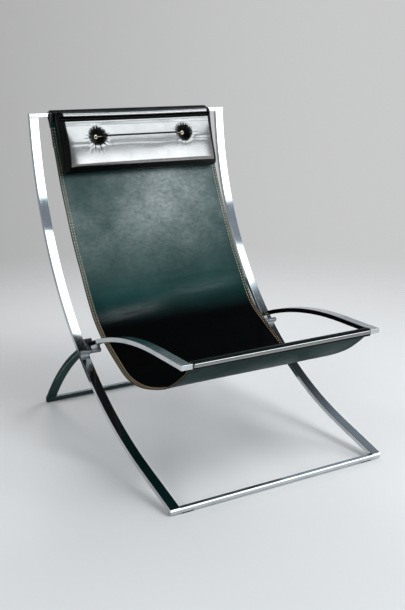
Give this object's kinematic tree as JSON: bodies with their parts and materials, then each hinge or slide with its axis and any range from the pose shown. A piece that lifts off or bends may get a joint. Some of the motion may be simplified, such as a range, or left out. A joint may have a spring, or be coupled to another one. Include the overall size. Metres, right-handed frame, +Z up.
{
  "type": "folding chaise longue",
  "caption": "Folding lounge chair: two nested frames of bent chromed flat bar crossing at side hinges, a black leather sling hung between rails, and a tufted leather headrest",
  "frame": {"origin": "Floor level, in the middle of the chair's overall width and depth", "axes": "+Z up, -Y the front where the sitter's legs are, +X to the right as seen from the front"},
  "size_m": [0.61, 0.821, 0.8481],
  "materials": {
    "chrome": "polished",
    "steel": "satin",
    "black_plastic": "matte",
    "black_rubber": "matte",
    "black_leather": "semi-gloss",
    "eyelet_brass": "aged",
    "tan_lace": "waxed"
  },
  "bodies": {
    "back_frame": {"left_back_bar": "chrome", "right_back_bar": "chrome", "top_rail": "chrome", "front_floor_rail": "chrome", "left_back_knuckle": "chrome", "right_back_knuckle": "chrome", "left_hinge_pin": "steel", "right_hinge_pin": "steel", "left_stop_stud": "steel", "right_stop_stud": "steel", "left_hinge_washer": "black_plastic", "right_hinge_washer": "black_plastic", "left_stop_buffer": "black_rubber", "right_stop_buffer": "black_rubber", "front_glides": "black_rubber", "sling_back": "black_leather", "headrest_pillow": "black_leather", "headrest_hanger": "black_leather", "headrest_eyelets": "eyelet_brass", "headrest_lace": "tan_lace"},
    "seat_frame": {"left_seat_bar": "chrome", "right_seat_bar": "chrome", "seat_front_rail": "chrome", "rear_floor_rail": "chrome", "left_seat_knuckle": "chrome", "right_seat_knuckle": "chrome", "rear_glides": "black_rubber", "sling_seat": "black_leather", "sling_bend": "black_leather"}
  },
  "joints": [
    {"name": "fold", "type": "hinge", "parent": "back_frame", "child": "seat_frame", "pos_m": [0, 0.06942, 0.25166], "axis": [-1, 0, 0], "range_deg": [0, 94], "deforming": ["sling_bend"]}
  ]
}
